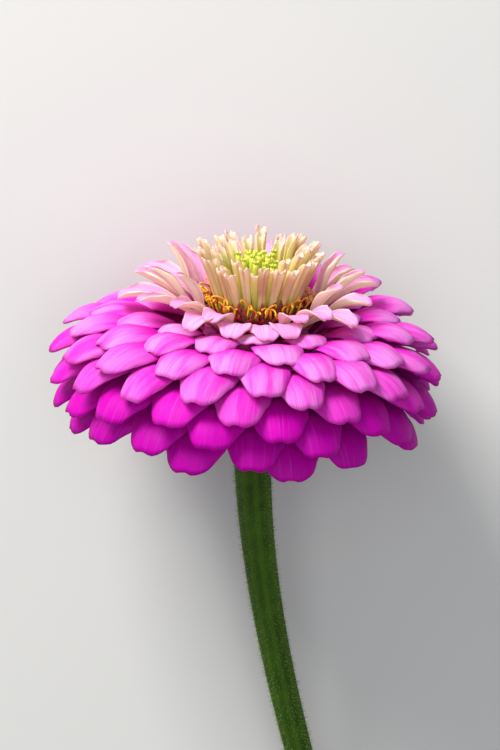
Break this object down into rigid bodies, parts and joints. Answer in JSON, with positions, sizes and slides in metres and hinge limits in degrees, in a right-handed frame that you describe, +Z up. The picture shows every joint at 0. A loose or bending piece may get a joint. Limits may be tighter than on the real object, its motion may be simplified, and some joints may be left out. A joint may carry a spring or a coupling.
{
  "type": "cut flower",
  "caption": "Cut zinnia laid on its side: broad double head of shingled pink petals, a pale crown of rolled florets round a green eye, and a bare curved stem.",
  "frame": {"origin": "on the surface the flower lies on, below the middle of its bounding box", "axes": "+Y along the flower's length, from the cut end of the stem to the face; +Z up from the surface; +X to the side the stem curves to"},
  "size_m": [0.0792, 0.1472, 0.0749],
  "materials": {
    "stem_green": "soft, finely hairy plant skin",
    "bract_green": "matt leaf skin",
    "petal_pink": "satin petal skin, softly translucent",
    "petal_pale": "satin petal skin, pale back",
    "floret_cream": "satin, striped",
    "chaff_maroon": "dry and matt, with orange styles",
    "eye_green": "satin bud skin"
  },
  "bodies": {
    "root": {"stem": "stem_green", "bract_cup": "bract_green", "open_petals": "petal_pink", "half_open_florets": "petal_pale", "rolled_florets": "floret_cream", "chaff_and_styles": "chaff_maroon", "eye_buds": "eye_green"}
  },
  "joints": []
}
